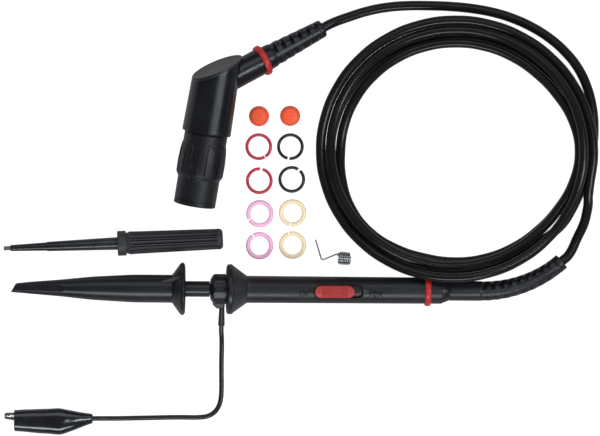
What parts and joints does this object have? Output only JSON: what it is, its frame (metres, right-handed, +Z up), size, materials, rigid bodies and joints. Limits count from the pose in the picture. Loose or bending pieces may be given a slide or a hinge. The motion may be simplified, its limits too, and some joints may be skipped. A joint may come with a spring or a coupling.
{
  "type": "oscilloscope probe",
  "caption": "Switchable passive voltage probe with spring hook, ground lead and clip, coiled cable, angled bayonet connector, trimming tool and marker rings.",
  "frame": {"origin": "middle of the box round the probe head and its loose kit, on the table they lie on", "axes": "+X along the probe from hook to cable, +Z up from the table"},
  "size_m": [0.2197, 0.1604, 0.0223],
  "materials": {
    "black_plastic": "satin black",
    "black_cable": "smooth black",
    "grey_plastic": "satin grey",
    "red_plastic": "satin red",
    "crimson_plastic": "glossy crimson",
    "navy_plastic": "glossy blue-black",
    "pink_plastic": "glossy pink",
    "cream_plastic": "glossy cream",
    "orange_plastic": "glossy orange",
    "steel": "plain",
    "plated_brass": "plain",
    "white_insulator": "plain",
    "board": "lacquered",
    "resistor": "lacquered",
    "capacitor": "plain"
  },
  "bodies": {
    "probe": {"barrel_shell": "black_plastic", "front_guard": "black_plastic", "nose_tube": "black_plastic", "ground_ferrule": "steel", "tip_pin": "steel", "tip_resistor": "resistor", "tip_capacitor": "capacitor", "switch_board": "board", "fixed_contacts": "plated_brass", "barrel_marker_ring": "red_plastic", "probe_relief": "black_plastic", "cable_probe_end": "black_cable", "cable_coil": "black_cable", "cable_connector_end": "black_cable", "arm_relief": "black_plastic", "arm_marker_ring": "red_plastic", "connector_housing": "black_plastic", "connector_cover": "grey_plastic", "connector_board": "board", "trimmer_body": "white_insulator", "bnc_body": "steel", "bnc_insulator": "white_insulator", "bnc_centre_pin": "plated_brass", "bayonet_washer": "steel"},
    "hook_core": {"hook_core": "black_plastic", "hook_wire": "steel", "hook_spring": "steel", "tip_socket": "plated_brass"},
    "hook_sleeve": {"hook_sleeve": "black_plastic"},
    "switch_slider": {"switch_slider": "red_plastic", "moving_contact": "plated_brass"},
    "ground_lead": {"ground_collar": "black_plastic", "ground_contact_ring": "steel", "lead_boot": "black_plastic", "ground_wire": "black_cable", "clip_cover": "black_plastic", "clip_fixed_jaw": "steel", "clip_pivot": "steel", "clip_spring": "steel"},
    "clip_jaw": {"clip_moving_jaw": "steel"},
    "bayonet_grip": {"grip_sleeve": "black_plastic", "bayonet_shell": "steel"},
    "trimmer_screw": {"trimmer_screw": "plated_brass"},
    "trimming_tool": {"tool_blade": "steel", "tool_shaft": "black_plastic", "tool_handle": "black_plastic"},
    "ground_spring": {"ground_spring": "steel"},
    "spare_cap_1": {"spare_cap_1": "orange_plastic"},
    "spare_cap_2": {"spare_cap_2": "orange_plastic"},
    "ring_red_1": {"ring_red_1": "crimson_plastic"},
    "ring_red_2": {"ring_red_2": "crimson_plastic"},
    "ring_black_1": {"ring_black_1": "navy_plastic"},
    "ring_black_2": {"ring_black_2": "navy_plastic"},
    "ring_pink_1": {"ring_pink_1": "pink_plastic"},
    "ring_pink_2": {"ring_pink_2": "pink_plastic"},
    "ring_cream_1": {"ring_cream_1": "cream_plastic"},
    "ring_cream_2": {"ring_cream_2": "cream_plastic"}
  },
  "joints": [
    {"name": "hook_pull_off", "type": "slide", "parent": "probe", "child": "hook_core", "axis": [-0.9988, 0.0078, 0.0477], "range_m": [0, 0.036]},
    {"name": "hook_release", "type": "slide", "parent": "hook_core", "child": "hook_sleeve", "axis": [0.9988, -0.0078, -0.0477], "range_m": [0, 0.008], "stiffness_N_per_m": 250, "springref_m": -0.003, "deforming": ["hook_spring"]},
    {"name": "attenuation_switch", "type": "slide", "parent": "probe", "child": "switch_slider", "axis": [0.9988, -0.0078, -0.0477], "range_m": [0, 0.003]},
    {"name": "lead_swivel", "type": "hinge", "parent": "probe", "child": "ground_lead", "pos_m": [-0.02485, -0.02688, 0.00949], "axis": [-0.9988, 0.0078, 0.0477], "range_deg": [0, 120]},
    {"name": "clip_jaw_open", "type": "hinge", "parent": "ground_lead", "child": "clip_jaw", "pos_m": [-0.0913, -0.0751, 0.0031], "axis": [0, 0, 1], "range_deg": [0, 15], "stiffness_Nm_per_rad": 0.02, "springref_deg": -17.19},
    {"name": "bayonet_turn", "type": "hinge", "parent": "probe", "child": "bayonet_grip", "pos_m": [-0.0336, 0.0042, 0.00769], "axis": [0.1655, 0.9786, 0.1219], "continuous": true},
    {"name": "trimmer_turn", "type": "hinge", "parent": "probe", "child": "trimmer_screw", "pos_m": [-0.02764, 0.03943, 0.01208], "axis": [-0.3263, 0.171, -0.9297], "continuous": true},
    {"name": "tool_lift", "type": "slide", "parent": "probe", "child": "trimming_tool", "axis": [0, 0, 1], "range_m": [0, 0.03]},
    {"name": "ground_spring_lift", "type": "slide", "parent": "probe", "child": "ground_spring", "axis": [0, 0, 1], "range_m": [0, 0.03]},
    {"name": "spare_cap_1_lift", "type": "slide", "parent": "probe", "child": "spare_cap_1", "axis": [0, 0, 1], "range_m": [0, 0.03]},
    {"name": "spare_cap_2_lift", "type": "slide", "parent": "probe", "child": "spare_cap_2", "axis": [0, 0, 1], "range_m": [0, 0.03]},
    {"name": "ring_red_1_lift", "type": "slide", "parent": "probe", "child": "ring_red_1", "axis": [0, 0, 1], "range_m": [0, 0.03]},
    {"name": "ring_red_2_lift", "type": "slide", "parent": "probe", "child": "ring_red_2", "axis": [0, 0, 1], "range_m": [0, 0.03]},
    {"name": "ring_black_1_lift", "type": "slide", "parent": "probe", "child": "ring_black_1", "axis": [0, 0, 1], "range_m": [0, 0.03]},
    {"name": "ring_black_2_lift", "type": "slide", "parent": "probe", "child": "ring_black_2", "axis": [0, 0, 1], "range_m": [0, 0.03]},
    {"name": "ring_pink_1_lift", "type": "slide", "parent": "probe", "child": "ring_pink_1", "axis": [0, 0, 1], "range_m": [0, 0.03]},
    {"name": "ring_pink_2_lift", "type": "slide", "parent": "probe", "child": "ring_pink_2", "axis": [0, 0, 1], "range_m": [0, 0.03]},
    {"name": "ring_cream_1_lift", "type": "slide", "parent": "probe", "child": "ring_cream_1", "axis": [0, 0, 1], "range_m": [0, 0.03]},
    {"name": "ring_cream_2_lift", "type": "slide", "parent": "probe", "child": "ring_cream_2", "axis": [0, 0, 1], "range_m": [0, 0.03]}
  ]
}
